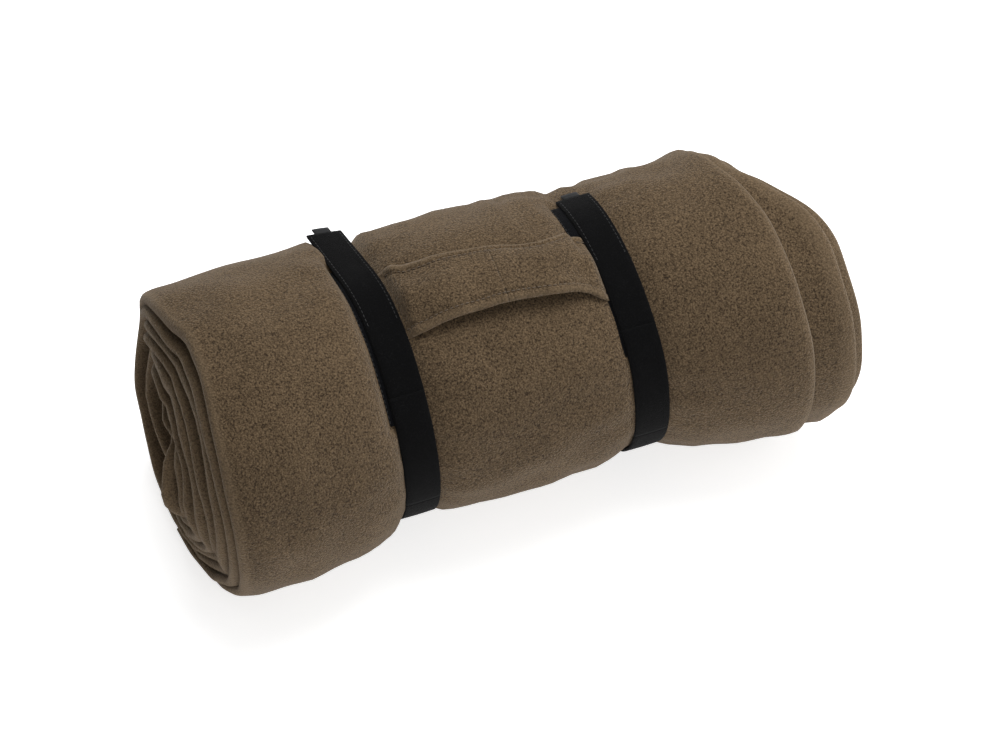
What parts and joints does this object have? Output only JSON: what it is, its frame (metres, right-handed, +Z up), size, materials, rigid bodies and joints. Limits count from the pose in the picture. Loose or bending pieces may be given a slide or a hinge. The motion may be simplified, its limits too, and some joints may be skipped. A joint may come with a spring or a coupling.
{
  "type": "camp blanket",
  "caption": "Rolled fleece camp blanket with a self-fabric carry handle, held by hook-and-loop straps that peel open.",
  "frame": {"origin": "middle of the bounding box, on the surface the roll rests on", "axes": "+X along the roll, -Y the front, +Z up"},
  "size_m": [0.404, 0.1974, 0.1902],
  "materials": {
    "fleece": "brushed double-sided fleece",
    "strap_tape": "black loop-faced tape",
    "loop_tape": "black loop pile",
    "hook_tape": "black moulded hooks on a woven ground",
    "tab": "smooth black welded tab",
    "thread_brown": "matt polyester thread",
    "thread_black": "matt polyester thread"
  },
  "bodies": {
    "blanket": {"blanket_roll": "fleece", "handle_end_left": "fleece", "handle_tack_left": "thread_brown", "loop_tape_left": "loop_tape", "loop_stitching_left": "thread_black", "strap_base_left": "strap_tape", "anchor_stitching_left": "thread_black", "handle_end_right": "fleece", "handle_tack_right": "thread_brown", "loop_tape_right": "loop_tape", "loop_stitching_right": "thread_black", "strap_base_right": "strap_tape", "anchor_stitching_right": "thread_black"},
    "handle": {"handle_grip": "fleece", "handle_stitching_front": "thread_brown", "handle_stitching_back": "thread_brown"},
    "left_strap_front": {"strap_front_left": "strap_tape"},
    "left_strap_upper": {"strap_upper_left": "strap_tape"},
    "left_strap_tail": {"strap_tail_left": "strap_tape", "hook_tape_left": "hook_tape", "tail_stitching_left": "thread_black", "pull_tab_left": "tab"},
    "right_strap_front": {"strap_front_right": "strap_tape"},
    "right_strap_upper": {"strap_upper_right": "strap_tape"},
    "right_strap_tail": {"strap_tail_right": "strap_tape", "hook_tape_right": "hook_tape", "tail_stitching_right": "thread_black", "pull_tab_right": "tab"}
  },
  "joints": [
    {"name": "handle_lift", "type": "slide", "parent": "blanket", "child": "handle", "axis": [0, -0.1045, 0.9945], "range_m": [0, 0.022]},
    {"name": "left_front_peel", "type": "hinge", "parent": "blanket", "child": "left_strap_front", "pos_m": [-0.066, -0.06021, 0.03748], "axis": [1, 0, 0], "range_deg": [0, 65]},
    {"name": "left_upper_peel", "type": "hinge", "parent": "left_strap_front", "child": "left_strap_upper", "pos_m": [-0.066, -0.07386, 0.11488], "axis": [1, 0, 0], "range_deg": [0, 65]},
    {"name": "left_tail_peel", "type": "hinge", "parent": "left_strap_upper", "child": "left_strap_tail", "pos_m": [-0.066, -0.02034, 0.16392], "axis": [1, 0, 0], "range_deg": [0, 85]},
    {"name": "right_front_peel", "type": "hinge", "parent": "blanket", "child": "right_strap_front", "pos_m": [0.071, -0.06021, 0.03748], "axis": [1, 0, 0], "range_deg": [0, 65]},
    {"name": "right_upper_peel", "type": "hinge", "parent": "right_strap_front", "child": "right_strap_upper", "pos_m": [0.071, -0.07386, 0.11488], "axis": [1, 0, 0], "range_deg": [0, 65]},
    {"name": "right_tail_peel", "type": "hinge", "parent": "right_strap_upper", "child": "right_strap_tail", "pos_m": [0.071, -0.02034, 0.16392], "axis": [1, 0, 0], "range_deg": [0, 85]}
  ]
}
